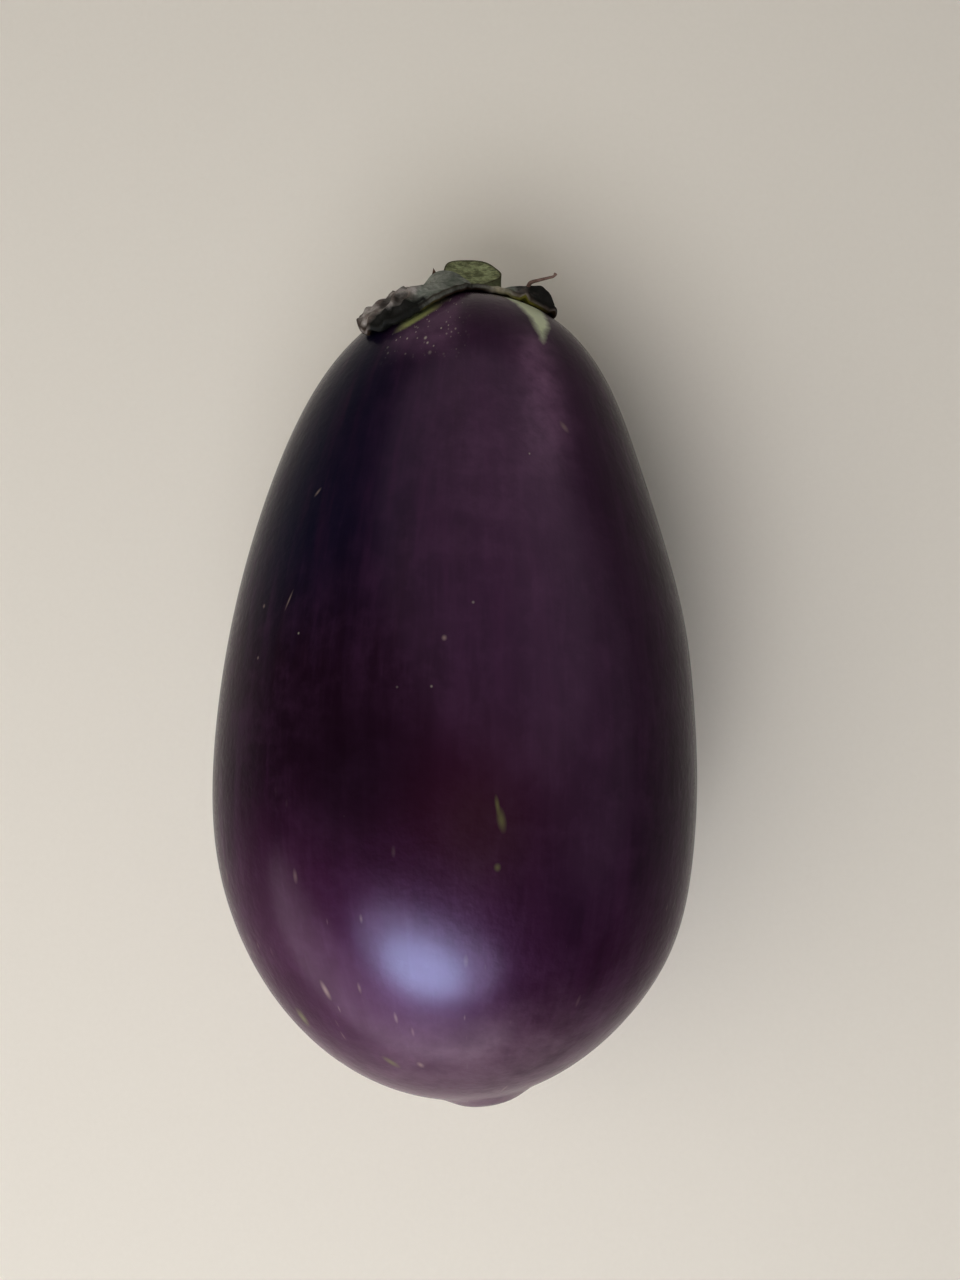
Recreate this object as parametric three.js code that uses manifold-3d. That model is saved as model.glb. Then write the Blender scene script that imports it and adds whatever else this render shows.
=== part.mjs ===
// An eggplant, picked and lying on its side: a plump purple fruit, its green calyx of five withered
// lobes, and the short stub of stalk above the calyx, cut on a slant.
//
// Millimetres, +Z up. The fruit's axis runs from the blossom end, at -Y, to the stem end, at +Y, and
// dips a little towards the stem end, as the fruit does when its weight settles. The origin is on the
// surface it lies on, under the middle of the whole thing.
import * as THREE from "three";
import { ParametricGeometry } from "three/addons/geometries/ParametricGeometry.js";
import { mergeVertices } from "three/addons/utils/BufferGeometryUtils.js";
import Module from "manifold-3d";

const wasm = await Module();
wasm.setup();

const DEGREE = Math.PI / 180;

// Fruit: blossom end to stem end, and the scale of its half-width
const FRUIT_LENGTH = 128.4;
const FRUIT_HALF_WIDTH = 38;
// Share of each cosine in the profile. The first is the ellipse, the next makes the blossom end the
// fatter one, and the last two square its shoulders.
const PROFILE_COSINES = [1.05, 0.08, 0.072, -0.036];
// How far the axis leans and bows towards +X
const AXIS_LEAN = 0.7;
const AXIS_BOW = 5;
// Dip of the axis towards the stem end, and how much of the underside the resting spot takes off
const REST_TILT = 6.8 * DEGREE;
const REST_SPOT_DEPTH = 0.6;

// Low swellings and hollows round the fruit: where along it (0 at the blossom end, 1 at the stem
// end), how long, how high, and the side it is on (0 is +X, 90 is up)
const SWELLINGS = [
  { along: 0.78, length: 0.1, height: -0.55, side: 0 },
  { along: 0.56, length: 0.09, height: 0.55, side: 0 },
  { along: 0.18, length: 0.09, height: 1.1, side: -30 },
  { along: 0.28, length: 0.11, height: 0.35, side: 175 },
  { along: 0.62, length: 0.16, height: 0.3, side: 200 },
  { along: 0.45, length: 0.2, height: 0.35, side: 300 },
];
// Faint ridges that run down the shoulder from the lobes
const RIDGE_HEIGHT = 0.2;

// Blossom scar: a blunt knob beside the axis
const KNOB_X = 4.5;
const KNOB_Z = 3.9;
const KNOB_RADIUS = 5.9;
const KNOB_HEIGHT = 1.2;

// Calyx: everything here is laid out on the skin. A distance is measured along the skin from the
// stem end, and a side is the angle round the axis, from +X up towards +Z.
const SKIN_PER_RADIAN = 43;
const CAP_REACH = 11.8;
const CAP_THICKNESS = 1.6;
const LOBE_THICKNESS = 1;
const MARGIN_ROUNDING = 0.4;
const GAP = 0.35;
// Each lobe: its side, half its spread and how far its tip reaches; where its hump is on the way to
// the tip, the hump's length, how far it arches off the skin and how much it thickens there; the lift
// of its edges, the swell of the cap beside the stalk, and the swing of its tip
const LOBES = [
  {
    side: 35, spread: 20, reach: 17.6,
    humpAt: 0.79, humpLength: 0.14, arch: 0.3, bulk: 2.1,
    edges: 0.1, swell: 0.2, swing: -7,
  },
  {
    side: 120, spread: 36, reach: 29,
    humpAt: 0.79, humpLength: 0.16, arch: 0.6, bulk: 0.8,
    edges: 0.1, swell: 2.7, swing: 0,
  },
  {
    side: 203, spread: 33, reach: 25,
    humpAt: 0.6, humpLength: 0.3, arch: 0.8, bulk: 0.5,
    edges: 0.6, swell: 1.2, swing: -6,
  },
  {
    side: 262, spread: 31, reach: 22.5,
    humpAt: 0.6, humpLength: 0.3, arch: 0.7, bulk: 0.4,
    edges: 0.6, swell: 0.6, swing: 5,
  },
  {
    side: 321, spread: 30, reach: 23.5,
    humpAt: 0.6, humpLength: 0.3, arch: 0.9, bulk: 0.4,
    edges: 0.8, swell: 0.5, swing: 4,
  },
];

// Prickles on the calyx: how far out of the way to the margin, and the side
const PRICKLES = [
  { out: 0.3, side: 126 },
  { out: 0.52, side: 112 },
  { out: 0.6, side: 196 },
  { out: 0.45, side: 207 },
  { out: 0.45, side: 262 },
  { out: 0.58, side: 318 },
];
const PRICKLE_RADIUS = 0.55;
const PRICKLE_HEIGHT = 1;

// Dry curl that stands off the lobe on the +X side: how far out it starts, the side, its thickness,
// and each bend as a step along +X, along +Y and up
const CURL_OUT = 0.8;
const CURL_SIDE = 43;
const CURL_RADIUS = 0.32;
const CURL_BENDS = [
  [0, 0, -0.6],
  [0.4, 0.6, 0.2],
  [1.8, 0.9, 0.5],
  [3.3, 1.1, 0.8],
  [4.2, 1.3, 0.9],
  [4.6, 1.8, 1],
];

// Stalk stub: its half-width above the flare, the flare at its foot, its five ridges, its length on
// the axis, how it leans towards +X and up, and the slant and dish of the cut
const STALK_RADIUS = 5;
const STALK_FLARE = 1.2;
const STALK_FLARE_HEIGHT = 2;
const STALK_RIDGE = 0.18;
const STALK_LENGTH = 4.9;
const STALK_LEAN_X = 4 * DEGREE;
const STALK_LEAN_UP = 12 * DEGREE;
const CUT_SLANT = 35 * DEGREE;
const CUT_SIDE = 84 * DEGREE;
const CUT_DISH = 0.4;

// Faces: rows along and faces round each piece
const FRUIT_ROWS = 46;
const FRUIT_FACES = 64;
const CALYX_ROWS = 16;
const MARGIN_ROWS = 3;
const CALYX_FACES = 100;
const STALK_ROWS = 5;
const STALK_FACES = 30;

const FRUIT_COLOUR = 0x2e1a30;
const CALYX_COLOUR = 0x4f4d42;
const STALK_COLOUR = 0x6d7550;

const bell = (x) => Math.exp(-x * x);

function smooth(low, high, x) {
  const t = THREE.MathUtils.clamp((x - low) / (high - low), 0, 1);
  return t * t * (3 - 2 * t);
}

// The shorter way round from one side to another, in radians
const turn = (from, to) => Math.atan2(Math.sin(to - from), Math.cos(to - from));

// Height of the skin over the plain turned profile: swellings, ridges and the blossom knob
function relief(profileAngle, along, radius, side) {
  let height = 0;
  for (const swelling of SWELLINGS) {
    const facing = (1 + Math.cos(side - swelling.side * DEGREE)) / 2;
    height += swelling.height * facing ** 2 * bell((along - swelling.along) / swelling.length);
  }
  for (const lobe of LOBES) {
    const near = bell(turn(lobe.side * DEGREE, side) / 0.3);
    height += RIDGE_HEIGHT * near * bell((profileAngle - 2.45) / 0.42);
  }
  height *= smooth(0, 0.35, Math.sin(profileAngle));
  if (profileAngle < 1) {
    const away = Math.hypot(radius * Math.cos(side) - KNOB_X, radius * Math.sin(side) - KNOB_Z);
    height += KNOB_HEIGHT * Math.exp(-((away / KNOB_RADIUS) ** 4));
  }
  return height;
}

// A point of the fruit. The profile angle is 0 at the blossom end and pi at the stem end, and lift
// raises the point off the skin.
function onFruit(profileAngle, side, lift = 0) {
  const cosines = PROFILE_COSINES.map((share, k) => share * Math.cos(k * profileAngle));
  const sines = PROFILE_COSINES.map((share, k) => k * share * Math.sin(k * profileAngle));
  const width = cosines.reduce((total, term) => total + term);
  const narrowing = sines.reduce((total, term) => total + term);
  const across = Math.sin(profileAngle);
  const ahead = Math.cos(profileAngle);
  const along = (1 - ahead) / 2;
  const radius = FRUIT_HALF_WIDTH * across * width;
  const outward = new THREE.Vector2(
    (FRUIT_LENGTH / 2) * across,
    -FRUIT_HALF_WIDTH * (ahead * width - across * narrowing),
  ).normalize();
  const raised = lift + relief(profileAngle, along, radius, side);
  const bow = AXIS_LEAN * (along - 0.5) + AXIS_BOW * (along - 0.5) ** 2;
  return new THREE.Vector3(
    bow + (radius + outward.x * raised) * Math.cos(side),
    FRUIT_LENGTH * along + outward.y * raised,
    (radius + outward.x * raised) * Math.sin(side),
  );
}

// How much of a lobe there is at a side of the calyx: 1 on its midrib, 0 outside its spread
function lobeShare(lobe, side) {
  const across = turn(lobe.side * DEGREE, side) / (lobe.spread * DEGREE);
  return Math.abs(across) < 1 ? Math.cos((across * Math.PI) / 2) : 0;
}

// How far the calyx reaches down the skin at a side: the cap, and out to a point at each lobe
function calyxReach(side) {
  const reaches = LOBES.map((lobe) => (lobe.reach - CAP_REACH) * lobeShare(lobe, side));
  return CAP_REACH + Math.max(...reaches);
}

// A lobe's shrivelled hump: a bell along the lobe that falls to its edges, and none at the stalk
function hump(lobe, out, side) {
  const nearHump = bell((out - lobe.humpAt) / lobe.humpLength) * smooth(0, 0.3, out);
  return lobeShare(lobe, side) ** 2 * nearHump;
}

// How far the calyx's underside stands off the skin; out is 0 at the stalk and 1 at the margin
function calyxLift(out, side) {
  let lift = GAP;
  for (const lobe of LOBES) {
    const share = lobeShare(lobe, side);
    lift += lobe.arch * hump(lobe, out, side);
    lift += lobe.edges * 4 * share * (1 - share) * smooth(0.5, 1, out);
  }
  return lift;
}

// Thick at the stalk and thin further out, with the humps and a swell of the cap round the stalk
function calyxThickness(out, side) {
  const distance = out * calyxReach(side);
  const ring = bell((distance - 8.5) / 2.6) * smooth(4, 7, distance);
  let thickness = THREE.MathUtils.lerp(CAP_THICKNESS, LOBE_THICKNESS, smooth(4, 12, distance));
  for (const lobe of LOBES) {
    thickness += lobe.bulk * hump(lobe, out, side);
    thickness += lobe.swell * lobeShare(lobe, side) * ring;
  }
  return thickness;
}

// A point of the calyx on its underside (face 0), on its back (face 1) or above that
function onCalyx(out, side, face, above = 0) {
  const swings = LOBES.map((lobe) => lobe.swing * DEGREE * lobeShare(lobe, side) ** 2);
  const swing = swings.reduce((total, term) => total + term);
  const lift = calyxLift(out, side) + face * calyxThickness(out, side) + above;
  const profileAngle = Math.PI - (out * calyxReach(side)) / SKIN_PER_RADIAN;
  return onFruit(profileAngle, side + swing * out ** 3, lift);
}

// The stalk's own frame: its foot on the calyx and its direction
const stalkFoot = onCalyx(0, 0, 1);
const stalkAxis = new THREE.Vector3(Math.tan(STALK_LEAN_X), 1, Math.tan(STALK_LEAN_UP)).normalize();
const stalkAcross = new THREE.Vector3(1, 0, 0).addScaledVector(stalkAxis, -stalkAxis.x).normalize();
const stalkUp = new THREE.Vector3().crossVectors(stalkAcross, stalkAxis);

// The stalk's foot follows the calyx, a gap clear of it; share is 0 on its axis and 1 at its edge
function onStalkFoot(share, side) {
  const radius = share * (STALK_RADIUS + STALK_FLARE);
  return onCalyx(radius / calyxReach(side), side, 1, GAP);
}

// The cut across the stalk, slanted and a little dished
function onStalkCut(share, side) {
  const radius = share * (STALK_RADIUS + STALK_RIDGE * Math.cos(5 * side));
  const slant = Math.tan(CUT_SLANT) * Math.cos(side - CUT_SIDE) * radius;
  const height = STALK_LENGTH - slant - CUT_DISH * (1 - share ** 2);
  return stalkFoot
    .clone()
    .addScaledVector(stalkAxis, height)
    .addScaledVector(stalkAcross, radius * Math.cos(side))
    .addScaledVector(stalkUp, radius * Math.sin(side));
}

// The stalk's wall: up is 0 at the foot and 1 at the cut, and the foot's flare dies away early
function onStalkWall(up, side) {
  const foot = onStalkFoot(1, side);
  const cut = onStalkCut(1, side);
  const wall = foot.clone().lerp(cut, up);
  const above = foot.distanceTo(cut) * up;
  const inward = stalkAxis.clone().multiplyScalar(stalkAxis.dot(wall.clone().sub(stalkFoot)));
  const axisPoint = stalkFoot.clone().add(inward);
  const flareLost = STALK_FLARE * (1 - up) * (1 - bell(above / STALK_FLARE_HEIGHT));
  return wall.add(axisPoint.sub(wall).setLength(flareLost));
}

// A closed solid from rows of points; the first and last rows are single points
function closedSurface(pointOfRow, rows, faces) {
  const place = (round, down, target) => {
    const side = (Math.round(round * faces) % faces) * ((2 * Math.PI) / faces);
    target.copy(pointOfRow(Math.round(down * rows), side));
  };
  const grid = new ParametricGeometry(place, faces, rows);
  grid.deleteAttribute("normal");
  grid.deleteAttribute("uv");
  const merged = mergeVertices(grid);
  const corners = merged.index.array;
  const kept = [];
  for (let i = 0; i < corners.length; i += 3) {
    const face = Array.from(corners.slice(i, i + 3));
    if (new Set(face).size === 3) kept.push(...face.reverse());
  }
  merged.setIndex(kept);
  return dipped(merged);
}

// Every shape is laid out with the fruit's axis level, then turned to the dip it rests at
function dipped(geometry) {
  return geometry.rotateX(-REST_TILT);
}

function solidOf(geometry) {
  const surface = new wasm.Mesh({
    numProp: 3,
    vertProperties: new Float32Array(geometry.attributes.position.array),
    triVerts: new Uint32Array(geometry.index.array),
  });
  return new wasm.Manifold(surface);
}

// A plain three.js shape as a solid, its shared corners joined first
function plainSolid(geometry) {
  geometry.deleteAttribute("normal");
  geometry.deleteAttribute("uv");
  return solidOf(mergeVertices(geometry));
}

function meshOf(solid, name, colour, roughness) {
  const { vertProperties, triVerts } = solid.getMesh();
  const geometry = new THREE.BufferGeometry();
  geometry.setAttribute("position", new THREE.BufferAttribute(vertProperties, 3));
  geometry.setIndex(new THREE.BufferAttribute(triVerts, 1));
  geometry.computeVertexNormals();
  const material = new THREE.MeshStandardMaterial({ color: colour, roughness, metalness: 0 });
  const mesh = new THREE.Mesh(geometry, material);
  mesh.name = name;
  return mesh;
}

// Fruit, with the flat spot it lies on
function fruitSolid() {
  const pointOfRow = (row, side) => onFruit((row / FRUIT_ROWS) * Math.PI, side);
  const skin = closedSurface(pointOfRow, FRUIT_ROWS, FRUIT_FACES);
  skin.computeBoundingBox();
  const below = new THREE.BoxGeometry(FRUIT_LENGTH, 3 * FRUIT_LENGTH, FRUIT_HALF_WIDTH);
  below.translate(0, 0, skin.boundingBox.min.z + REST_SPOT_DEPTH - FRUIT_HALF_WIDTH / 2);
  return solidOf(skin).subtract(plainSolid(below));
}

// Calyx, with its prickles and its dry curl
function calyxSolid() {
  const lastRow = 2 * CALYX_ROWS + MARGIN_ROWS;
  const pointOfRow = (row, side) => {
    const round = Math.PI * THREE.MathUtils.clamp((row - CALYX_ROWS) / MARGIN_ROWS, 0, 1);
    const past = (MARGIN_ROUNDING * Math.sin(round) * calyxThickness(1, side)) / calyxReach(side);
    const out = Math.min(1, row / CALYX_ROWS, (lastRow - row) / CALYX_ROWS);
    return onCalyx(out + past, side, (1 - Math.cos(round)) / 2);
  };
  let calyx = solidOf(closedSurface(pointOfRow, lastRow, CALYX_FACES));
  for (const prickle of PRICKLES) {
    const foot = onCalyx(prickle.out, prickle.side * DEGREE, 1, -0.3);
    const tip = onCalyx(prickle.out, prickle.side * DEGREE, 1, PRICKLE_HEIGHT);
    const upright = new THREE.Quaternion().setFromUnitVectors(
      new THREE.Vector3(0, 1, 0),
      tip.clone().sub(foot).normalize(),
    );
    const cone = new THREE.ConeGeometry(PRICKLE_RADIUS, foot.distanceTo(tip), 7);
    cone.applyQuaternion(upright);
    const middle = foot.clone().add(tip).divideScalar(2);
    cone.translate(middle.x, middle.y, middle.z);
    calyx = calyx.add(plainSolid(dipped(cone)));
  }
  return calyx.add(curlSolid());
}

function curlSolid() {
  const start = onCalyx(CURL_OUT, CURL_SIDE * DEGREE, 1);
  const bends = CURL_BENDS.map((bend) => start.clone().add(new THREE.Vector3(...bend)));
  const section = new THREE.Shape().absarc(0, 0, CURL_RADIUS, 0, 2 * Math.PI, false);
  const curl = new THREE.ExtrudeGeometry(section, {
    curveSegments: 4,
    steps: 14,
    extrudePath: new THREE.CatmullRomCurve3(bends),
  });
  return plainSolid(dipped(curl));
}

// Stalk
function stalkSolid() {
  const wallTop = 2 * STALK_ROWS;
  const lastRow = 3 * STALK_ROWS;
  const pointOfRow = (row, side) => {
    if (row <= STALK_ROWS) return onStalkFoot(row / STALK_ROWS, side);
    if (row <= wallTop) return onStalkWall((row - STALK_ROWS) / STALK_ROWS, side);
    return onStalkCut((lastRow - row) / STALK_ROWS, side);
  };
  return solidOf(closedSurface(pointOfRow, lastRow, STALK_FACES));
}

const eggplant = new THREE.Group();
eggplant.name = "eggplant";
eggplant.add(meshOf(fruitSolid(), "fruit", FRUIT_COLOUR, 0.3));
eggplant.add(meshOf(calyxSolid(), "calyx", CALYX_COLOUR, 0.75));
eggplant.add(meshOf(stalkSolid(), "stem", STALK_COLOUR, 0.65));

// The origin goes under the middle of the whole thing, on the surface it lies on
const box = new THREE.Box3().setFromObject(eggplant);
const middle = box.getCenter(new THREE.Vector3());
for (const mesh of eggplant.children) mesh.geometry.translate(-middle.x, -middle.y, -box.min.z);

export default eggplant;
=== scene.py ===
import math

import bpy
import numpy as np
from mathutils import Matrix, Vector


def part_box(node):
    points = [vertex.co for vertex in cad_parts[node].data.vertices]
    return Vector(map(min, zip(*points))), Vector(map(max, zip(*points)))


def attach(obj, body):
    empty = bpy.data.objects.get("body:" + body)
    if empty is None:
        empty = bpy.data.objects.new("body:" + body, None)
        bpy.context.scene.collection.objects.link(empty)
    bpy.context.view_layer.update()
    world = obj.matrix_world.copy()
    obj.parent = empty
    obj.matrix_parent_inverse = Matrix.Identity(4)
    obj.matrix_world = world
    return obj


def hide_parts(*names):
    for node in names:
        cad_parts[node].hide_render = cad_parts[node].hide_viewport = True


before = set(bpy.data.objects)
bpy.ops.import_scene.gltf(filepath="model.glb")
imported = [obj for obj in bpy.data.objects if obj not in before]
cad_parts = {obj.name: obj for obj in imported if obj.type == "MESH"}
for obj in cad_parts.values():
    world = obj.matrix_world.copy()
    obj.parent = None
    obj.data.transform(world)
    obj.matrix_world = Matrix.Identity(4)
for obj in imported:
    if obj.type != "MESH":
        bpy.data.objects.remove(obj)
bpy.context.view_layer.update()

MM = 0.001
DEGREE = math.pi / 180

# Fruit: blossom end to stem end, the scale of its half-width, the share of each cosine in its
# profile, and how far its axis leans and bows towards +X
FRUIT_LENGTH = 128.4
FRUIT_HALF_WIDTH = 38
PROFILE_COSINES = (1.05, 0.08, 0.072, -0.036)
AXIS_LEAN = 0.7
AXIS_BOW = 5
REST_TILT = 6.8 * DEGREE
REST_SPOT_DEPTH = 0.6

# Low swellings and hollows: where along the fruit, how long, how high, and the side
SWELLINGS = (
    (0.78, 0.1, -0.55, 0),
    (0.56, 0.09, 0.55, 0),
    (0.18, 0.09, 1.1, -30),
    (0.28, 0.11, 0.35, 175),
    (0.62, 0.16, 0.3, 200),
    (0.45, 0.2, 0.35, 300),
)
RIDGE_HEIGHT = 0.2

# Blossom scar: a blunt knob beside the axis
KNOB_X = 4.5
KNOB_Z = 3.9
KNOB_RADIUS = 5.9
KNOB_HEIGHT = 1.2

# Calyx: distances are along the skin from the stem end
SKIN_PER_RADIAN = 43
CAP_REACH = 11.8
CAP_THICKNESS = 1.6
LOBE_THICKNESS = 1
MARGIN_ROUNDING = 0.4
GAP = 0.35
# Each lobe: side, half its spread, reach of its tip, where its hump is on the way to the tip, the
# hump's length, how far it arches off the skin and how much it thickens there, the lift of its edges,
# the swell of the cap beside the stalk, and the swing of its tip
LOBES = (
    (35, 20, 17.6, 0.79, 0.14, 0.3, 2.1, 0.1, 0.2, -7),
    (120, 36, 29, 0.79, 0.16, 0.6, 0.8, 0.1, 2.7, 0),
    (203, 33, 25, 0.6, 0.3, 0.8, 0.5, 0.6, 1.2, -6),
    (262, 31, 22.5, 0.6, 0.3, 0.7, 0.4, 0.6, 0.6, 5),
    (321, 30, 23.5, 0.6, 0.3, 0.9, 0.4, 0.8, 0.5, 4),
)

# Prickles: how far out of the way to the margin, and the side
PRICKLES = ((0.3, 126), (0.52, 112), (0.6, 196), (0.45, 207), (0.45, 262), (0.58, 318))
PRICKLE_RADIUS = 0.55
PRICKLE_HEIGHT = 1

# Dry curl: how far out it starts, the side, its thickness, and its bends along +X, +Y and up
CURL_OUT = 0.8
CURL_SIDE = 43
CURL_RADIUS = 0.32
CURL_BENDS = ((0, 0, -0.6), (0.4, 0.6, 0.2), (1.8, 0.9, 0.5), (3.3, 1.1, 0.8), (4.2, 1.3, 0.9), (4.6, 1.8, 1))

# Stalk stub
STALK_RADIUS = 5
STALK_FLARE = 1.2
STALK_FLARE_HEIGHT = 2
STALK_RIDGE = 0.18
STALK_LENGTH = 4.9
STALK_LEAN_X = 4 * DEGREE
STALK_LEAN_UP = 12 * DEGREE
CUT_SLANT = 35 * DEGREE
CUT_SIDE = 84 * DEGREE
CUT_DISH = 0.4

# Skin colours, and the purple gleam of the layer under the wax
SKIN_DARK = (0.0105, 0.0016, 0.0075, 1)
# Painted reflection: a darker, bluer tone for the upper left shoulder of the skin
SKIN_REFLECTED_BLUE = (0.0045, 0.0045, 0.019, 1)
SKIN_PURPLE = (0.034, 0.0105, 0.032, 1)
SKIN_MAGENTA = (0.044, 0.008, 0.035, 1)
SKIN_CRIMSON = (0.032, 0.003, 0.014, 1)
SKIN_BRUISE = (0.03, 0.0035, 0.022, 1)
SKIN_STREAK = (0.085, 0.034, 0.078, 1)
SKIN_PINK = (0.2, 0.11, 0.18, 1)
# Painted reflection of the floor: a paler pink towards the blossom end
SKIN_FLOOR_SHEEN = (0.145, 0.09, 0.12, 1)
SKIN_PALE = (0.78, 0.77, 0.58, 1)
SKIN_WEDGE = (0.72, 0.78, 0.56, 1)
SKIN_LIME = (0.34, 0.36, 0.16, 1)
SKIN_FLECK = (0.3, 0.23, 0.2, 1)
SKIN_GREEN = (0.17, 0.18, 0.07, 1)
SKIN_CORK = (0.16, 0.09, 0.05, 1)
SKIN_GLEAM = (1, 0.38, 0.85, 1)

# Gloss of the layer under the wax, of the wax itself, and of all the dry and matte pieces
UNDER_WAX_LEVEL = 0.03
WAX_ROUGHNESS = 0.24
WAX_INDEX = 1.13
MATTE_LEVEL = 0.02

# Small marks of the skin: share of the way along, side, half-width, half-length and lean
GREEN_MARKS = (
    (0.334, 77.4, 0.42, 1.15, 10),
    (0.348, 78.2, 0.22, 0.9, 8),
    (0.289, 78, 0.33, 0.4, 0),
    (0.117, 136, 0.6, 1.3, 20),
    (0.08, 108, 0.35, 1.1, 50),
)
PALE_MARKS = (
    (0.159, 119, 0.3, 1.1, 24),
    (0.559, 125.4, 0.11, 1.1, -22),
    (0.558, 134.6, 0.2, 0.26, 0),
    (0.681, 123, 0.16, 0.6, -40),
    (0.08, 98, 0.3, 0.5, 30),
    (0.5, 133.6, 0.17, 0.2, 0),
    (0.76, 57.5, 0.3, 0.75, 35),
    (0.51, 88.5, 0.26, 0.3, 0),
)

# Finishes of the calyx and of the stalk
CAP_GREEN = (0.21, 0.235, 0.2, 1)
CAP_GREY = (0.42, 0.43, 0.385, 1)
LOBE_BROWN = (0.24, 0.2, 0.18, 1)
LOBE_GREY = (0.46, 0.425, 0.4, 1)
LOBE_BLACK = (0.014, 0.014, 0.012, 1)
LOBE_OLIVE = (0.2, 0.185, 0.03, 1)
MARGIN_BROWN = (0.05, 0.027, 0.015, 1)
MARGIN_BEIGE = (0.6, 0.54, 0.42, 1)
PRICKLE_BROWN = (0.16, 0.1, 0.07, 1)
CURL_PINK = (0.24, 0.165, 0.14, 1)
CUT_PALE = (0.55, 0.6, 0.36, 1)
CUT_GREEN = (0.2, 0.22, 0.12, 1)
CUT_RIM = (0.06, 0.045, 0.028, 1)
STALK_GREY = (0.12, 0.13, 0.085, 1)

# How strongly the green and the pale marks show
GREEN_MARK_SHOWS = 0.52
PALE_MARK_SHOWS = 0.6

# Floor: how far it reaches, in metres, and its two close tones
FLOOR_REACH = 1.5
FLOOR_TONES = ((0.73, 0.69, 0.63, 1), (0.75, 0.71, 0.65, 1))

# Lights: heading, elevation, distance, size, radiance, colour, and whether it only lights the
# colour of things or only shows in their gloss
LIGHTS = {
    "window": (-8, 52, 0.7, (0.5, 0.33), 4, (0.93, 0.95, 1), "colour"),
    "ceiling": (-72, 62, 0.9, (1.4, 1.4), 0.9, (1, 0.98, 0.94), "colour"),
    "window_gleam": (-13, 38.5, 0.7, (0.38, 0.25), 46, (0.48, 0.76, 1), "gloss"),
    "window_haze": (-12, 41, 0.7, (0.72, 0.4), 19.5, (0.66, 0.82, 1), "gloss"),
    "ceiling_gleam": (158, 43, 0.9, (2.1, 1.25), 2.1, (1, 0.95, 1), "gloss"),
    "room_wall": (108, 26, 0.9, (1.4, 0.9), 1.2, (1, 0.97, 0.98), "gloss"),
    "low_front": (-28, 10, 0.7, (1.4, 0.4), 4.6, (1, 0.96, 0.98), "gloss"),
}
LIGHTS_AIM = (0, 0, 0.04)
ROOM_TONE = (1, 0.98, 0.95, 1)
ROOM_STRENGTH = 0.12
PICTURE_GAMMA = 0.78
PICTURE_EXPOSURE = 0.35

# Camera: its place and the point it looks at, beside the level fruit, and its lens
CAMERA_PLACE = (11.42, 66.26, 150.03)
CAMERA_AIM = (1.9, 70.88, -44.56)
CAMERA_LENS = 27

# Rows and faces of each surface
FRUIT_ROWS = 238
FRUIT_FACES = 384
CALYX_ROWS = 84
CALYX_FACES = 520
MARGIN_ROWS = 8
STALK_ROWS = 40
STALK_FACES = 180
PRICKLE_ROWS = 12
PRICKLE_FACES = 14
CURL_ROWS = 60
CURL_FACES = 12

# Finer forms than the solids have: the calyx's crumple on the cap and on the dried lobes, with its
# longest and shortest waves, the least it clears the skin by, and the skin's and the stalk's inset
# that keeps them in their boxes
CAP_CRUMPLE = 0.13
LOBE_CRUMPLE = 0.45
CRUMPLE_LONGEST = 8
CRUMPLE_SHORTEST = 1.4
CREASE_SHARE = 0.4
CALYX_CLEARANCE = 0.1
SKIN_INSET = 0.05
STALK_INSET = 0.06


# Shape


def smooth(low, high, x):
    """0 below low, 1 above high, and an even S between them."""
    t = np.clip((x - low) / (high - low), 0, 1)
    return t * t * (3 - 2 * t)


def bell(x):
    """A bell curve: 1 at 0, falling as the exponential of minus x squared."""
    return np.exp(-x * x)


def turn(start, end):
    """The shorter way round from one side to another, in radians."""
    return np.arctan2(np.sin(end - start), np.cos(end - start))


def waves(a, b, longest, shortest, count, seed):
    """A crumpled height field: seeded plane waves over (a, b), from long to short, each as high as
    it is long, brought to a height of about 1."""
    draw = np.random.default_rng(seed)
    lengths = longest * (shortest / longest) ** np.linspace(0, 1, count)
    headings = draw.uniform(0, 2 * math.pi, count)
    phases = draw.uniform(0, 2 * math.pi, count)
    total = np.zeros(np.broadcast(a, b).shape)
    for length, heading, phase in zip(lengths, headings, phases):
        across = a * math.cos(heading) + b * math.sin(heading)
        total += length * np.sin(2 * math.pi * across / length + phase)
    return total / np.sqrt((lengths**2).sum() / 2)


def profile(profile_angle):
    """The turned profile at an angle of 0 at the blossom end and pi at the stem end: the place
    along the axis, the half-width, and the outward direction across and along."""
    width = sum(share * np.cos(k * profile_angle) for k, share in enumerate(PROFILE_COSINES))
    narrowing = sum(k * share * np.sin(k * profile_angle) for k, share in enumerate(PROFILE_COSINES))
    across, ahead = np.sin(profile_angle), np.cos(profile_angle)
    along = (1 - ahead) / 2
    half_width = FRUIT_HALF_WIDTH * across * width
    out_across = FRUIT_LENGTH / 2 * across
    out_along = -FRUIT_HALF_WIDTH * (ahead * width - across * narrowing)
    length = np.hypot(out_across, out_along)
    return along, half_width, out_across / length, out_along / length


def relief(profile_angle, side):
    """Height of the skin over the turned profile: a bell for each swelling on its side, a faint
    ridge down from each lobe, and a flat-topped knob for the blossom scar."""
    along, half_width, _, _ = profile(profile_angle)
    height = 0
    for place, length, rise, facing_side in SWELLINGS:
        facing = (1 + np.cos(side - facing_side * DEGREE)) / 2
        height = height + rise * facing**2 * bell((along - place) / length)
    for lobe in LOBES:
        near = bell(turn(lobe[0] * DEGREE, side) / 0.3)
        height = height + RIDGE_HEIGHT * near * bell((profile_angle - 2.45) / 0.42)
    height = height * smooth(0, 0.35, np.sin(profile_angle))
    away = np.hypot(half_width * np.cos(side) - KNOB_X, half_width * np.sin(side) - KNOB_Z)
    knob = KNOB_HEIGHT * np.exp(-((away / KNOB_RADIUS) ** 4))
    return height + np.where(profile_angle < 1, knob, 0)


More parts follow.
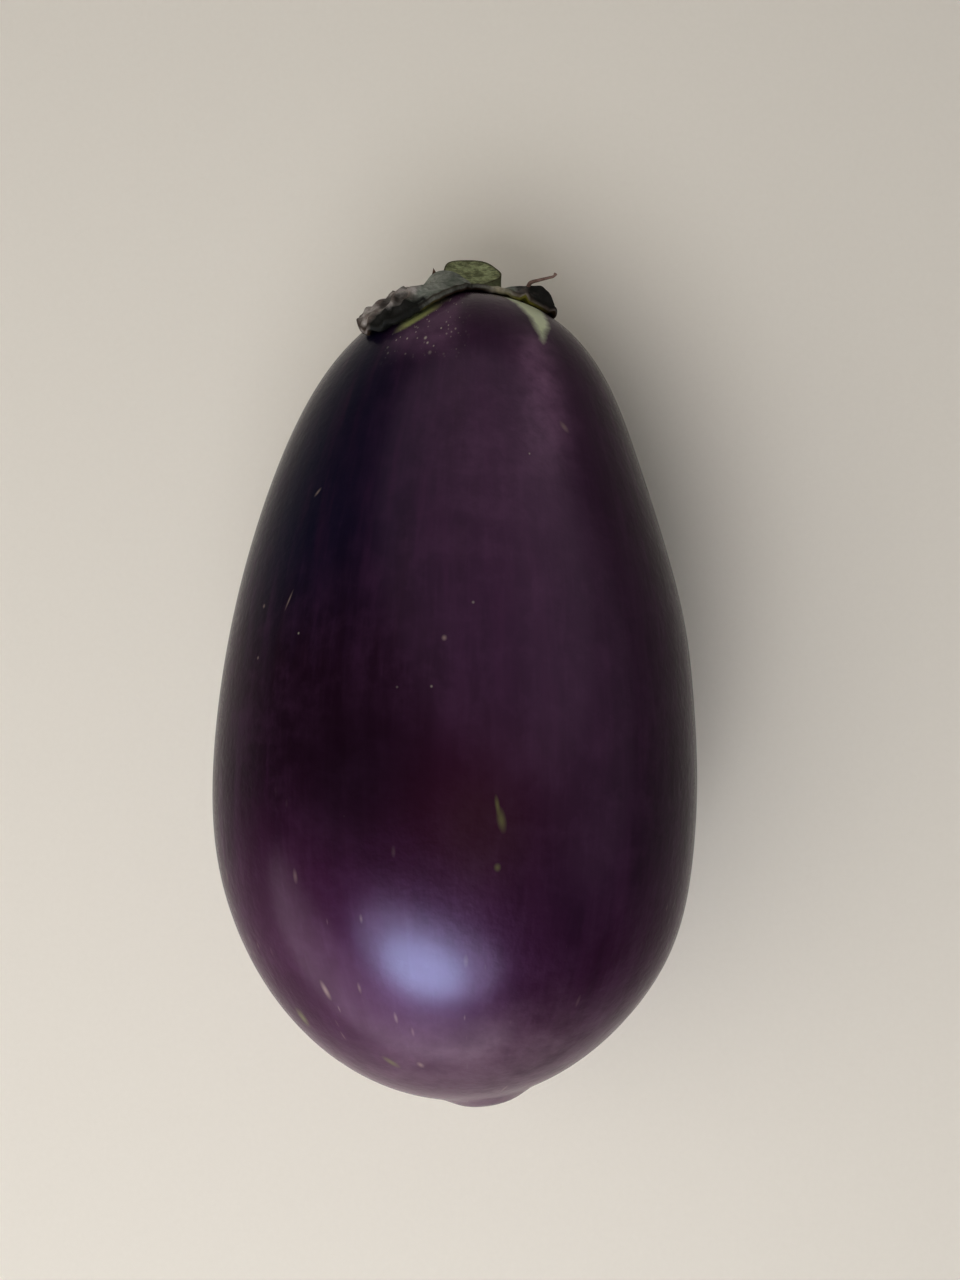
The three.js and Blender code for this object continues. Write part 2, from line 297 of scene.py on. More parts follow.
def on_fruit(profile_angle, side, lift=0):
    """Points of the skin, raised by lift along the profile's outward direction."""
    along, half_width, out_across, out_along = profile(profile_angle)
    raised = lift + relief(profile_angle, side)
    bow = AXIS_LEAN * (along - 0.5) + AXIS_BOW * (along - 0.5) ** 2
    reach = half_width + out_across * raised
    x = bow + reach * np.cos(side)
    y = FRUIT_LENGTH * along + out_along * raised
    z = reach * np.sin(side)
    return np.stack(np.broadcast_arrays(x, y, z), axis=-1)


def lobe_share(lobe, side):
    """How much of a lobe there is at a side: 1 on its midrib, falling as a cosine to 0."""
    across = turn(lobe[0] * DEGREE, side) / (lobe[1] * DEGREE)
    return np.where(np.abs(across) < 1, np.cos(np.clip(across, -1, 1) * math.pi / 2), 0)


def calyx_reach(side):
    """How far the calyx reaches down the skin: the cap, and out to a point at each lobe."""
    reaches = [(lobe[2] - CAP_REACH) * lobe_share(lobe, side) for lobe in LOBES]
    return CAP_REACH + np.max(reaches, axis=0)


def hump(lobe, out, side):
    """A lobe's shrivelled hump: a bell along the lobe, falling to its edges, none at the stalk."""
    return lobe_share(lobe, side) ** 2 * bell((out - lobe[3]) / lobe[4]) * smooth(0, 0.3, out)


def dryness(out, side):
    """How dried a place is: none on the cap, 1 on the lobes, past an even S of the distance out.
    From the right lobe round to the left one the cap stays fresh right to the margin."""
    fresh = smooth(50, 57, side / DEGREE) * (1 - smooth(104, 113, side / DEGREE))
    return smooth(11, 14.5, out * calyx_reach(side)) * (1 - fresh)


def crumple(out, side):
    """The dried calyx's crumple: waves with sharp creases, where the waves pass through 0, that
    deepen from the cap to the lobes and are none at the stalk."""
    distance = out * calyx_reach(side)
    across, ahead = distance * np.cos(side), distance * np.sin(side)
    folds = waves(across, ahead, CRUMPLE_LONGEST, CRUMPLE_SHORTEST, 16, 4)
    creases = 1 - 2 * np.abs(waves(across, ahead, CRUMPLE_LONGEST, 2 * CRUMPLE_SHORTEST, 9, 11))
    depth = CAP_CRUMPLE + (LOBE_CRUMPLE - CAP_CRUMPLE) * dryness(out, side)
    return depth * smooth(5, 8, distance) * (folds * (1 - CREASE_SHARE) + creases * CREASE_SHARE)


def calyx_lift(out, side):
    """How far the underside stands off the skin: a gap, arched humps, raised edges and crumple."""
    lift = GAP + crumple(out, side)
    for lobe in LOBES:
        share = lobe_share(lobe, side)
        lift = lift + lobe[5] * hump(lobe, out, side)
        lift = lift + lobe[7] * 4 * share * (1 - share) * smooth(0.5, 1, out)
    return np.maximum(lift, CALYX_CLEARANCE)


def calyx_thickness(out, side):
    """Thick at the stalk and thin further out, with the shrivelled humps and a swell of the cap
    that rings the stalk."""
    distance = out * calyx_reach(side)
    thickness = CAP_THICKNESS + (LOBE_THICKNESS - CAP_THICKNESS) * smooth(4, 12, distance)
    ring = bell((distance - 8.5) / 2.6) * smooth(4, 7, distance)
    for lobe in LOBES:
        thickness = thickness + lobe[6] * hump(lobe, out, side)
        thickness = thickness + lobe[8] * lobe_share(lobe, side) * ring
    return thickness


def on_calyx(out, side, face, above=0):
    """Points of the calyx: out is 0 at the stalk and 1 at the margin, which rounds over a little
    further out, and face is 0 on the underside and 1 on the back."""
    swing = sum(lobe[9] * DEGREE * lobe_share(lobe, side) ** 2 for lobe in LOBES)
    lift = calyx_lift(out, side) + face * calyx_thickness(out, side) + above
    profile_angle = math.pi - out * calyx_reach(side) / SKIN_PER_RADIAN
    return on_fruit(profile_angle, side + swing * out**3, lift)


def unit(vector):
    """The vector at a length of 1."""
    return np.asarray(vector) / np.linalg.norm(vector)


stalk_foot = on_calyx(0.0, 0.0, 1)
stalk_axis = unit((math.tan(STALK_LEAN_X), 1, math.tan(STALK_LEAN_UP)))
stalk_across = unit(np.array((1, 0, 0)) - stalk_axis * stalk_axis[0])
stalk_up = np.cross(stalk_across, stalk_axis)


def on_stalk_foot(share, side):
    """The stalk's foot, a gap clear of the calyx: share is 0 on the axis and 1 at the edge."""
    radius = share * (STALK_RADIUS + STALK_FLARE)
    return on_calyx(radius / calyx_reach(side), side, 1, GAP)


def on_stalk_cut(share, side):
    """The slanted cut: height falls evenly across it, and dishes as the square of the share."""
    radius = share * (STALK_RADIUS + STALK_RIDGE * np.cos(5 * side))
    slant = math.tan(CUT_SLANT) * np.cos(side - CUT_SIDE) * radius
    height = STALK_LENGTH - slant - CUT_DISH * (1 - share**2)
    return (
        stalk_foot
        + stalk_axis * height[..., None]
        + stalk_across * (radius * np.cos(side))[..., None]
        + stalk_up * (radius * np.sin(side))[..., None]
    )


def on_stalk_wall(up, side):
    """The wall: straight from the foot's edge to the cut's, less the flare as it dies away."""
    foot, cut = on_stalk_foot(1, side), on_stalk_cut(np.ones_like(side), side)
    wall = foot + (cut - foot) * up[..., None]
    above = np.linalg.norm(cut - foot, axis=-1) * up
    from_foot = wall - stalk_foot
    outward = from_foot - stalk_axis * (from_foot @ stalk_axis)[..., None]
    outward = outward / np.linalg.norm(outward, axis=-1, keepdims=True)
    flare_lost = STALK_FLARE * (1 - up) * (1 - bell(above / STALK_FLARE_HEIGHT))
    return wall - outward * flare_lost[..., None]


def dipped(points):
    """Points turned about the X axis so that the stem end dips by the rest tilt."""
    x, y, z = np.moveaxis(points, -1, 0)
    dip_y = y * math.cos(REST_TILT) + z * math.sin(REST_TILT)
    dip_z = z * math.cos(REST_TILT) - y * math.sin(REST_TILT)
    return np.stack((x, dip_y, dip_z), axis=-1)


# Placing


def grid(rows, faces):
    """Row numbers and sides of a surface's points, as two arrays of rows + 1 by faces."""
    row, face = np.meshgrid(np.arange(rows + 1), np.arange(faces), indexing="ij")
    return row.astype(float), face * 2 * math.pi / faces


def closed_mesh(name, surfaces, marks):
    """A mesh of closed surfaces, each from rows of points round its axis. The first and last rows
    are single points, and each pair of rows is joined by a ring of faces. Marks are named values
    for each point, as numbers or as vectors."""
    rows, faces = surfaces[0].shape[0] - 1, surfaces[0].shape[1]
    order = np.arange((rows - 1) * faces).reshape(rows - 1, faces) + 1
    here, after = order, np.roll(order, -1, axis=1)
    rings = np.stack((here[:-1], here[1:], after[1:], after[:-1]), axis=-1).reshape(-1, 4)
    last = (rows - 1) * faces + 1
    start = np.stack((np.zeros(faces, int), here[0], after[0]), axis=-1)
    end = np.stack((np.full(faces, last), after[-1], here[-1]), axis=-1)

    def flat(values):
        inner = values[1:-1].reshape(-1, *values.shape[2:])
        return np.concatenate((values[0, :1], inner, values[-1, :1]))

    mesh = bpy.data.meshes.new(name)
    corners = np.concatenate([flat(points) * MM for points in surfaces])
    face_list = []
    for number in range(len(surfaces)):
        first = number * (last + 1)
        for part in (start, rings, end):
            face_list += (part + first).tolist()
    mesh.from_pydata(corners.tolist(), [], face_list)
    for mark, values in marks.items():
        kind, key = ("FLOAT_VECTOR", "vector") if values[0].ndim == 3 else ("FLOAT", "value")
        attribute = mesh.attributes.new(mark, kind, "POINT")
        spread = np.concatenate([flat(value) for value in values])
        attribute.data.foreach_set(key, spread.astype(np.float32).ravel())
    mesh.polygons.foreach_set("use_smooth", np.ones(len(mesh.polygons), bool))
    mesh.update()
    piece = bpy.data.objects.new(name, mesh)
    bpy.context.scene.collection.objects.link(piece)
    return piece


def tube(path, radius, faces):
    """A round tube along a path, with a radius for each point of it. Each ring lies square to the
    path, and the first and last radius is 0, so its ends are closed."""
    tangent = np.gradient(path, axis=0)
    tangent /= np.linalg.norm(tangent, axis=1, keepdims=True)
    across = np.cross(tangent, (0.31, 0.52, 0.8))
    across /= np.linalg.norm(across, axis=1, keepdims=True)
    up = np.cross(across, tangent)
    around = np.arange(faces) * 2 * math.pi / faces
    ring = across[:, None] * np.cos(around)[:, None] + up[:, None] * np.sin(around)[:, None]
    return path[:, None] + ring * np.asarray(radius)[:, None, None]


def settle(piece, node, material):
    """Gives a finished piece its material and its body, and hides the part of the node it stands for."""
    piece.data.materials.append(material)
    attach(piece, "root")
    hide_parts(node)


row, side = grid(FRUIT_ROWS, FRUIT_FACES)
skin_angle = row / FRUIT_ROWS * math.pi
skin_points = dipped(on_fruit(skin_angle, side))
floor_height = skin_points[..., 2].min() + REST_SPOT_DEPTH
fruit_low, fruit_high = (np.array(corner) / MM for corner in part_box("fruit"))
skin_middle = (skin_points.reshape(-1, 3).min(0) + skin_points.reshape(-1, 3).max(0)) / 2
shift = (fruit_low + fruit_high) / 2 - skin_middle
shift[2] = -floor_height


def placed(points):
    """Level points dipped and set down where the fruit lies."""
    return dipped(points) + shift


# Materials


class Finish:
    """A new material, with short ways to add nodes to it."""

    def __init__(self, name, roughness=0.6):
        self.material = bpy.data.materials.new(name)
        self.material.use_nodes = True
        self.tree = self.material.node_tree
        self.shader = self.tree.nodes["Principled BSDF"]
        self.shader.inputs["Roughness"].default_value = roughness
        self.place = self.node("ShaderNodeTexCoord").outputs["Object"]

    def node(self, kind, inputs=None, **settings):
        """A node with its settings, and its inputs set or linked."""
        node = self.tree.nodes.new(kind)
        for key, value in settings.items():
            setattr(node, key, value)
        for key, value in (inputs or {}).items():
            if isinstance(value, bpy.types.NodeSocket):
                self.tree.links.new(value, node.inputs[key])
            else:
                node.inputs[key].default_value = value
        return node

    def mark(self, name, output="Fac"):
        """A mark of the piece's points."""
        return self.node("ShaderNodeAttribute", attribute_name=name).outputs[output]

    def math(self, operation, first, second):
        """The result of a sum on two values."""
        return self.node("ShaderNodeMath", {0: first, 1: second}, operation=operation).outputs[0]

    def scaled(self, vector, by):
        """A vector stretched along each axis."""
        inputs = {0: vector, 1: by}
        return self.node("ShaderNodeVectorMath", inputs, operation="MULTIPLY").outputs[0]

    def ranged(self, value, low, high, least=0.0, most=1.0):
        """A value brought from one range to another, and held inside it."""
        inputs = {0: value, 1: low, 2: high, 3: least, 4: most}
        return self.node("ShaderNodeMapRange", inputs).outputs[0]

    def noise(self, vector, scale, detail, roughness=0.55):
        """Cloudy noise, about 0.5 in the middle."""
        inputs = {"Vector": vector, "Scale": scale, "Detail": detail, "Roughness": roughness}
        return self.node("ShaderNodeTexNoise", inputs).outputs["Fac"]

    def dots(self, vector, scale, radius):
        """Round dots, one in some of the cells, of mixed sizes up to the radius in cells."""
        cells = self.node("ShaderNodeTexVoronoi", {"Vector": vector, "Scale": scale})
        chance = self.node("ShaderNodeSeparateXYZ", {0: cells.outputs["Color"]}).outputs["X"]
        size = self.ranged(chance, 0.35, 1, 0, radius)
        inner = self.math("MULTIPLY", size, 0.15)
        inputs = {0: cells.outputs["Distance"], 1: inner, 2: size, 3: 1.0, 4: 0.0}
        return self.node("ShaderNodeMapRange", inputs).outputs[0]

    def blend(self, amount, first, second):
        """One colour turned into another by an amount."""
        inputs = {0: amount, 6: first, 7: second}
        return self.node("ShaderNodeMix", inputs, data_type="RGBA").outputs[2]

    def colour(self, colour):
        """Links the colour to the shader."""
        self.tree.links.new(colour, self.shader.inputs["Base Color"])

    def bump(self, height, strength, distance):
        """Links a fine bump to the shader; the distance is in metres."""
        inputs = {"Height": height, "Strength": strength, "Distance": distance}
        normal = self.node("ShaderNodeBump", inputs).outputs["Normal"]
        self.tree.links.new(normal, self.shader.inputs["Normal"])


def small_mark(skin, share, side, half_width, half_length, lean):
    """A soft-edged oval on the skin: the distance from its centre, leaned about +Z and measured in
    half-widths across and half-lengths along."""
    angle = np.array(math.acos(1 - 2 * share))
    centre = placed(on_fruit(angle, np.array(side * DEGREE))) * MM
    away = skin.node("ShaderNodeVectorMath", {0: skin.place, 1: centre}, operation="SUBTRACT")
    inputs = {"Vector": away.outputs[0], "Angle": -lean * DEGREE}
    turned = skin.node("ShaderNodeVectorRotate", inputs, rotation_type="Z_AXIS").outputs[0]
    depth = max(half_width, half_length)
    in_halves = skin.scaled(turned, (1 / (half_width * MM), 1 / (half_length * MM), 1 / (depth * MM)))
    length = skin.node("ShaderNodeVectorMath", {0: in_halves}, operation="LENGTH").outputs["Value"]
    return skin.ranged(length, 1.6, 0.3)


def skin_material():
    """Dark purple skin under clear wax: the purple gleam is the rough lower layer and the clear highlight is
    the coat. Broad tones come from marks of the points, and some of them are painted light: a lighter upper
    +X flank, a band of painted shade on the upper flank, a darker and bluer painted reflection on the upper
    left shoulder, and a paler painted reflection of the floor near the blossom end. Streaks along the fruit,
    mottling, dots and small marks lie over them."""
    skin = Finish("purple skin")
    flow = skin.mark("flow", "Vector")
    cloud = skin.noise(skin.place, 24, 3)
    blotch = skin.noise(skin.place, 95, 3, 0.6)
    mottle = skin.noise(skin.place, 270, 4, 0.62)
    broad_streaks = skin.noise(skin.scaled(flow, (4, 4, 0.14)), 3.2, 3)
    fine_streaks = skin.noise(skin.scaled(flow, (11, 11, 0.4)), 3.2, 4, 0.6)

    def patchy(name, low=0.55, high=1.4):
        return skin.ranged(skin.math("ADD", skin.mark(name), broad_streaks), low, high)

    tone = skin.blend(skin.ranged(cloud, 0.3, 0.7, 0, 0.35), SKIN_DARK, SKIN_PURPLE)
    # Painted reflection: the upper left shoulder turned darker and bluer
    tone = skin.blend(patchy("dark_blue_reflection"), tone, SKIN_REFLECTED_BLUE)
    # Painted light and sheen: the upper +X flank turned a lighter purple
    tone = skin.blend(patchy("lit_purple_flank"), tone, SKIN_PURPLE)
    tone = skin.blend(patchy("reddish"), tone, SKIN_MAGENTA)
    tone = skin.blend(skin.mark("crimson"), tone, SKIN_CRIMSON)
    # Painted shade: a darker band on the upper flank just past the top towards -X, near the middle of the
    # fruit
    tone = skin.blend(skin.mark("painted_shade"), tone, SKIN_DARK)
    # The streaks fade under the painted reflection, the painted shade and the crimson band
    plain = skin.math("ADD", skin.mark("dark_blue_reflection"), skin.mark("painted_shade"))
    plain = skin.math("ADD", plain, skin.mark("crimson"))
    clear = skin.ranged(plain, 0.2, 0.9, 1, 0.25)
    clear = skin.math("ADD", clear, skin.ranged(skin.mark("reddish"), 0.6, 1, 0, 0.6))
    for pattern, low, high, most in (
        (broad_streaks, 0.5, 0.75, 0.15),
        (fine_streaks, 0.5, 0.75, 0.16),
        (mottle, 0.48, 0.74, 0.24),
        (blotch, 0.48, 0.72, 0.2),
    ):
        amount = skin.math("MULTIPLY", skin.ranged(pattern, low, high, 0, most), clear)
        tone = skin.blend(amount, tone, SKIN_STREAK)

    patches = skin.ranged(skin.math("ADD", mottle, blotch), 0.75, 1.2, 0.4, 1)
    bruised = skin.math("MULTIPLY", skin.ranged(blotch, 0.53, 0.4, 0, 0.5), skin.mark("reddish"))
    tone = skin.blend(bruised, tone, SKIN_BRUISE)
    pinkish = skin.math("MULTIPLY", skin.mark("pinkish"), patches)
    tone = skin.blend(pinkish, tone, SKIN_PINK)
    # Painted reflection of the floor, in patches, towards the blossom end
    tone = skin.blend(skin.math("MULTIPLY", skin.mark("floor_sheen"), patches), tone, SKIN_FLOOR_SHEEN)
    olive = skin.math("MULTIPLY", skin.mark("greenish"), patches)
    tone = skin.blend(olive, tone, SKIN_GREEN)

    in_mm = skin.scaled(flow, (FRUIT_HALF_WIDTH, FRUIT_HALF_WIDTH, 10))
    for scale, radius in ((0.62, 0.32), (1.2, 0.42)):
        crowd = skin.math("MULTIPLY", skin.dots(in_mm, scale, radius), skin.mark("speckled"))
        tone = skin.blend(skin.math("MULTIPLY", crowd, 0.55), tone, SKIN_PALE)
    away = skin.ranged(skin.mark("reddish"), 0, 0.5, 0.3, 0)
    scattered = skin.math("MULTIPLY", skin.dots(in_mm, 0.21, 0.06), away)
    tone = skin.blend(scattered, tone, SKIN_PALE)
    near_blossom = skin.ranged(skin.mark("reddish"), 0.2, 1, 0, 0.4)
    for scale, radius in ((0.22, 0.15), (0.42, 0.2)):
        flecks = skin.dots(skin.scaled(in_mm, (1, 1, 0.4)), scale, radius)
        tone = skin.blend(skin.math("MULTIPLY", flecks, near_blossom), tone, SKIN_FLECK)

    uneven = skin.ranged(skin.math("ADD", mottle, blotch), 0.7, 1.3, -0.25, 0.25)
    for name, colour in (("pale", SKIN_WEDGE), ("lime", SKIN_LIME)):
        shown = skin.math("ADD", skin.mark(name), uneven)
        amount = skin.math("MULTIPLY", skin.ranged(shown, 0.2, 0.85), skin.ranged(skin.mark(name), 0, 0.2))
        tone = skin.blend(amount, tone, colour)
    tone = skin.blend(skin.mark("cork"), tone, SKIN_CORK)
    for place in GREEN_MARKS:
        amount = skin.math("MULTIPLY", small_mark(skin, *place), GREEN_MARK_SHOWS)
        tone = skin.blend(amount, tone, SKIN_GREEN)
    for place in PALE_MARKS:
        amount = skin.math("MULTIPLY", small_mark(skin, *place), PALE_MARK_SHOWS)
        tone = skin.blend(amount, tone, SKIN_FLECK)
    skin.colour(tone)

    waviness = skin.math("ADD", skin.noise(skin.place, 800, 2), skin.noise(skin.place, 230, 2))
    skin.bump(skin.math("ADD", waviness, blotch), 0.22, 0.0004)
    skin.tree.links.new(skin.ranged(mottle, 0.3, 0.7, 0.4, 0.5), skin.shader.inputs["Roughness"])
    skin.shader.inputs["Specular IOR Level"].default_value = UNDER_WAX_LEVEL
    skin.shader.inputs["Specular Tint"].default_value = SKIN_GLEAM
    skin.shader.inputs["Coat Weight"].default_value = 1
    skin.shader.inputs["Coat Roughness"].default_value = WAX_ROUGHNESS
    skin.shader.inputs["Coat IOR"].default_value = WAX_INDEX
    return skin.material


def calyx_material():
    """Withered calyx: a blue-grey-green cap, grey-brown crumpled lobes with painted shade in their valleys,
    near black, a brown edge with an olive underside, and a strip of pale beige edge. The black marks are
    partly the lobes' own dark tissue and partly painted shadow under the left lobe's tip and in a narrow gap
    near the margin."""
    leaf = Finish("withered calyx", 0.75)
    grain = leaf.noise(leaf.place, 1300, 4, 0.65)
    cloud = leaf.noise(leaf.place, 420, 3)
    cap = leaf.blend(leaf.ranged(cloud, 0.35, 0.65), CAP_GREEN, CAP_GREY)
    lobe = leaf.blend(leaf.ranged(cloud, 0.4, 0.6), LOBE_BROWN, LOBE_GREY)
    dry = leaf.math("ADD", leaf.mark("dryness"), leaf.ranged(cloud, 0.3, 0.7, -0.2, 0.2))
    tone = leaf.blend(leaf.ranged(dry, 0.3, 0.7), cap, lobe)
    # Painted shade: the crumple's valleys darkened towards black
    tone = leaf.blend(leaf.ranged(leaf.mark("crease_shade"), 0.2, 1, 0, 0.6), tone, LOBE_BLACK)
    tone = leaf.blend(leaf.mark("margin"), tone, MARGIN_BROWN)
    tone = leaf.blend(leaf.mark("olive"), tone, LOBE_OLIVE)
    tone = leaf.blend(leaf.mark("beige"), tone, MARGIN_BEIGE)
    # Black: the lobes' own dark tissue, with painted shadow under the left lobe's tip and in a narrow gap
    # near the margin
    black = leaf.math("ADD", leaf.mark("black_and_shadow"), leaf.ranged(cloud, 0.3, 0.7, -0.2, 0.2))
    tone = leaf.blend(leaf.ranged(black, 0.3, 0.6, 0, 0.95), tone, LOBE_BLACK)
    tone = leaf.blend(leaf.ranged(grain, 0.35, 0.65, 0.3, 0), tone, LOBE_BLACK)
    leaf.colour(tone)
    leaf.bump(leaf.math("ADD", grain, cloud), 0.6, 0.0003)
    leaf.shader.inputs["Specular IOR Level"].default_value = MATTE_LEVEL
    return leaf.material


def dry_material(name, tone):
    """Dry bristle and curl: a plain brown, darker towards one end, with fine grain."""
    dry = Finish(name, 0.7)
    grain = dry.noise(dry.place, 1500, 3)
    darker = dry.blend(dry.ranged(grain, 0.35, 0.65, 0.15, 0.7), tone, MARGIN_BROWN)
    dry.colour(dry.blend(dry.mark("along"), darker, tone))
    dry.shader.inputs["Specular IOR Level"].default_value = MATTE_LEVEL
    return dry.material


def stalk_material():
    """Cut stalk: a pale green mottled face inside a dark dried rim, and a ribbed grey-green wall."""
    stalk = Finish("cut stalk", 0.7)
    mottle = stalk.noise(stalk.place, 620, 4, 0.65)
    grain = stalk.noise(stalk.place, 1400, 3)
    face = stalk.blend(stalk.ranged(mottle, 0.4, 0.62), CUT_GREEN, CUT_PALE)
    wall = stalk.blend(stalk.ranged(mottle, 0.35, 0.65), CUT_GREEN, STALK_GREY)
    tone = stalk.blend(stalk.mark("face"), wall, face)
    tone = stalk.blend(stalk.ranged(grain, 0.35, 0.65, 0.3, 0), tone, CUT_RIM)
    tone = stalk.blend(stalk.mark("rim"), tone, CUT_RIM)
    stalk.colour(tone)
    stalk.bump(stalk.math("ADD", grain, mottle), 0.5, 0.0003)
    stalk.shader.inputs["Specular IOR Level"].default_value = MATTE_LEVEL
    return stalk.material


def floor_material():
    """Pale even floor with the faintest grain."""
    floor = Finish("pale floor", 0.9)
    grain = floor.noise(floor.place, 900, 2)
    floor.colour(floor.blend(grain, *FLOOR_TONES))
    floor.shader.inputs["Specular IOR Level"].default_value = MATTE_LEVEL
    return floor.material


# Fruit


def make_skin():
    """The fruit's skin, flat where it touches the floor. Flow is the unit circle round the axis
    and the place along it, for patterns that run from end to end."""
    along = profile(skin_angle)[0] * FRUIT_LENGTH
    points = placed(on_fruit(skin_angle, side, -SKIN_INSET))
    points[..., 2] = np.maximum(points[..., 2], 0)
    flow = np.stack((np.cos(side), np.sin(side), along / 10), axis=-1)
    share = along / FRUIT_LENGTH

    def beside(place):
        return turn(place * DEGREE, side) / DEGREE

    from_stem = math.pi - skin_angle
    down = (from_stem - 0.42) / 0.3
    wedge = 10.5 * (1 - down) - np.abs(beside(51 + 7 * down))
    below_margin = from_stem * SKIN_PER_RADIAN - calyx_reach(side)
    hugging = bell(beside(106) / 8) * (1 - smooth(1.1, 2.8, below_margin))
    below_wedge = bell(beside(62) / 7) * smooth(0.6, 0.78, from_stem) * (1 - smooth(0.85, 1.25, from_stem))
    below_ridge = bell(beside(78) / 14) * bell((from_stem - 1.1) / 0.25)
    by_patch = smooth(84, 94, side / DEGREE) * (1 - smooth(108, 118, side / DEGREE))
    by_patch = by_patch * (1 - smooth(0.72, 0.85, from_stem))
    knob = np.hypot(points[..., 0] - KNOB_X - shift[0], points[..., 2] - KNOB_Z - shift[2])
    redder = 0.07 * bell(beside(60) / 16) - 0.08 * bell(beside(120) / 30)
    paler = 0.04 * bell(beside(130) / 30) - 0.025 * bell(beside(66) / 16)
    marks = {
        "flow": [flow],
        # Painted reflection: darker and bluer on the upper left shoulder, towards the stem end
        "dark_blue_reflection": [bell(beside(122) / 32) * smooth(0.44, 0.66, share)],
        # Painted light and sheen: lighter purple on the upper +X flank, away from the blossom end
        "lit_purple_flank": [bell(beside(66) / 38) * smooth(0.1, 0.28, share)],
        "reddish": [1 - smooth(0.14, 0.36, share + redder)],
        "crimson": [0.95 * bell(beside(88) / 19) * bell((share - 0.34) / 0.085)],
        # Painted shade: a dark band just past the top towards -X, near the middle of the fruit
        "painted_shade": [0.95 * bell(beside(107) / 16) * bell((share - 0.39) / 0.09)],
        "greenish": [0.05 * bell(beside(80) / 8) * bell((share - 0.32) / 0.05)],
        # Painted reflection of the floor: paler pink towards the blossom end, shifted a little by side
        "floor_sheen": [0.9 * (1 - smooth(0.05, 0.17, share + paler))],
        "pale": [smooth(-4, 4, wedge) * smooth(-0.3, 0.2, 1 - down)],
        "lime": [hugging],
        "pinkish": [1.2 * below_wedge + 0.55 * by_patch + 0.2 * below_ridge],
        "speckled": [by_patch],
        "cork": [0.8 * bell(knob / 2.2) * (share < 0.1)],
    }
    return closed_mesh("fruit_skin", [points], marks)


settle(make_skin(), "fruit", skin_material())


# Calyx


def make_calyx():
    """The calyx: underside out to the margin, over the edge and back up to the stalk."""
    last = 2 * CALYX_ROWS + MARGIN_ROWS
    row, side = grid(last, CALYX_FACES)
    edge = np.clip((row - CALYX_ROWS) / MARGIN_ROWS, 0, 1)
    face = (1 - np.cos(math.pi * edge)) / 2
    rounding = MARGIN_ROUNDING * np.sin(math.pi * edge) * calyx_thickness(1.0, side)
    out = np.minimum(1, np.minimum(row, last - row) / CALYX_ROWS) + rounding / calyx_reach(side)
    to_margin = (1 - out) * calyx_reach(side)
    dip = -crumple(out, side) / LOBE_CRUMPLE
    under = 1 - smooth(0.25, 0.6, face)

    def beside(place, spread):
        return bell(turn(place * DEGREE, side) / DEGREE / spread)

    shown_olive = np.clip(beside(106, 5) + beside(48, 7), 0, 1)
    beige = beside(62, 7) * smooth(0.9, 0.5, to_margin)
    # The left lobe's tip: its own dark tissue, with painted shade of the hollow under it
    tip = 0.95 * smooth(0.85, 0.95, out) * beside(113, 11)
    right_lobe = 0.75 * smooth(0.6, 0.8, out) * beside(36, 16) * face
    # Painted shadow: a narrow dark gap near the margin at side 79
    slit_shadow = 0.9 * beside(79, 5) * bell((to_margin - 0.9) / 0.6) * face
    marks = {
        "dryness": [dryness(out, side)],
        # Painted shade in the crumple's valleys, on the back
        "crease_shade": [smooth(0.1, 1.1, dip) * face],
        "black_and_shadow": [np.maximum(np.maximum(tip, slit_shadow), right_lobe)],
        "olive": [under * shown_olive],
        "margin": [np.maximum(under, 0.85 * bell(to_margin / 0.45)) * (1 - beige)],
        "beige": [beige],
    }
    return closed_mesh("calyx_cap", [placed(on_calyx(out, side, face))], marks)


def make_prickles():
    """Slim cones on the calyx's back, their feet sunk in it."""
    step = np.clip((np.arange(PRICKLE_ROWS + 1) - 1) / (PRICKLE_ROWS - 1), 0, 1)
    radius = PRICKLE_RADIUS * (1 - step) ** 1.3
    radius[0] = 0
    cones = []
    for out, side in PRICKLES:
        side *= DEGREE
        sunk = -0.3 - 0.1 * (np.arange(PRICKLE_ROWS + 1) == 0)
        height = sunk + (PRICKLE_HEIGHT + 0.3) * step
        path = on_calyx(np.full_like(step, out), side, 1, height)
        cones.append(placed(tube(path, radius, PRICKLE_FACES)))
    along = [np.repeat(step[:, None], PRICKLE_FACES, axis=1)] * len(cones)
    return closed_mesh("calyx_prickles", cones, {"along": along})


def make_curl():
    """The dry curl: a smooth path through its bends, thick at its root, with a small knob at its
    tip. Between two bends the path is the Catmull-Rom cubic of the four nearest."""
    bends = np.array(CURL_BENDS, float)
    before, after = 2 * bends[:1] - bends[1:2], 2 * bends[-1:] - bends[-2:-1]
    knots = np.concatenate((before, bends, after))
    place = np.linspace(0, len(bends) - 1 - 1e-9, CURL_ROWS + 1)
    start, t = place.astype(int), (place % 1)[:, None]
    a, b, c, d = (knots[start + k] for k in range(4))
    path = (2 * b + (c - a) * t + (2 * a - 5 * b + 4 * c - d) * t**2 + (3 * b - a - 3 * c + d) * t**3) / 2
    step = place / place[-1]
    radius = CURL_RADIUS * (0.62 + 0.7 * (1 - step) ** 3 + 0.3 * bell((step - 0.95) / 0.05))
    radius *= np.sqrt(np.clip(np.minimum(step, 1 - step) * 30, 0, 1))
    root = on_calyx(CURL_OUT, CURL_SIDE * DEGREE, 1)
    along = np.repeat(step[:, None], CURL_FACES, axis=1)
    return closed_mesh("calyx_curl", [placed(tube(root + path, radius, CURL_FACES))], {"along": [along]})


settle(make_calyx(), "calyx", calyx_material())
settle(make_prickles(), "calyx", dry_material("dry prickle", PRICKLE_BROWN))
settle(make_curl(), "calyx", dry_material("dry curl", CURL_PINK))


# Stalk


